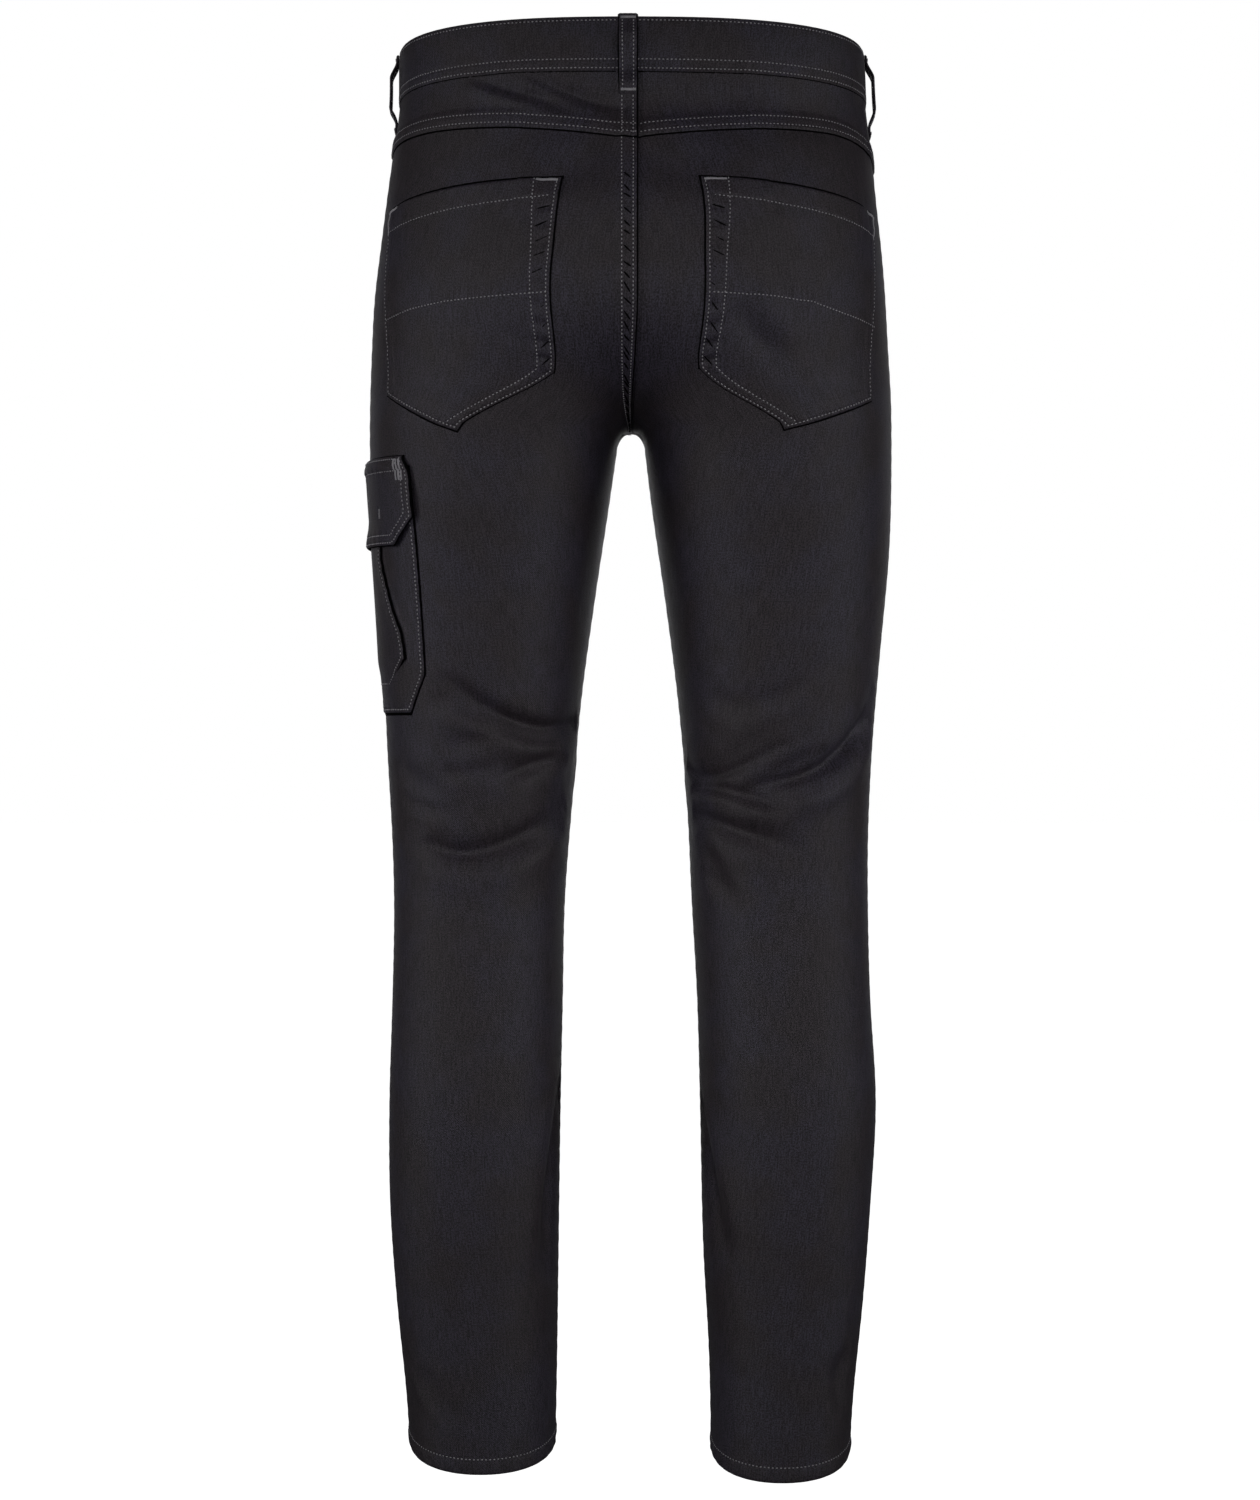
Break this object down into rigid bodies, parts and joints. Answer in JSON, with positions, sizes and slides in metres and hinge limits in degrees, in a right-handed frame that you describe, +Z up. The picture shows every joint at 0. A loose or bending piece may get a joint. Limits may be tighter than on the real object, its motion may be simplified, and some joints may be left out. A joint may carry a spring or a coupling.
{
  "type": "jeans",
  "caption": "Slim jeans in worn, hollow form: waistband with belt loops, yokes, patch back pockets, a flapped leg pocket and open hems.",
  "frame": {"origin": "middle of the waist opening, at the height of the waistline; a wearer or dress form holds the part here", "axes": "+Z up, +X to the wearer's left, +Y behind the wearer"},
  "size_m": [0.385, 0.2625, 1.0485],
  "materials": {
    "black_twill": "dense black stretch cotton twill, matt",
    "zip_tape": "woven tape with closed coil",
    "button_metal": "dark gunmetal"
  },
  "bodies": {
    "root": {"waistband": "black_twill", "yoke_left": "black_twill", "yoke_right": "black_twill", "back_left": "black_twill", "back_right": "black_twill", "front_left": "black_twill", "front_right": "black_twill", "back_pocket_left": "black_twill", "back_pocket_right": "black_twill", "leg_pocket": "black_twill", "leg_pocket_overlay": "black_twill", "leg_pocket_flap": "black_twill", "belt_loop_back": "black_twill", "belt_loop_side_left": "black_twill", "belt_loop_side_right": "black_twill", "belt_loop_front_left": "black_twill", "belt_loop_front_right": "black_twill", "pocket_facing_left": "black_twill", "pocket_facing_right": "black_twill", "fly_shield": "black_twill", "fly_zip": "zip_tape", "waist_button": "button_metal"}
  },
  "joints": []
}
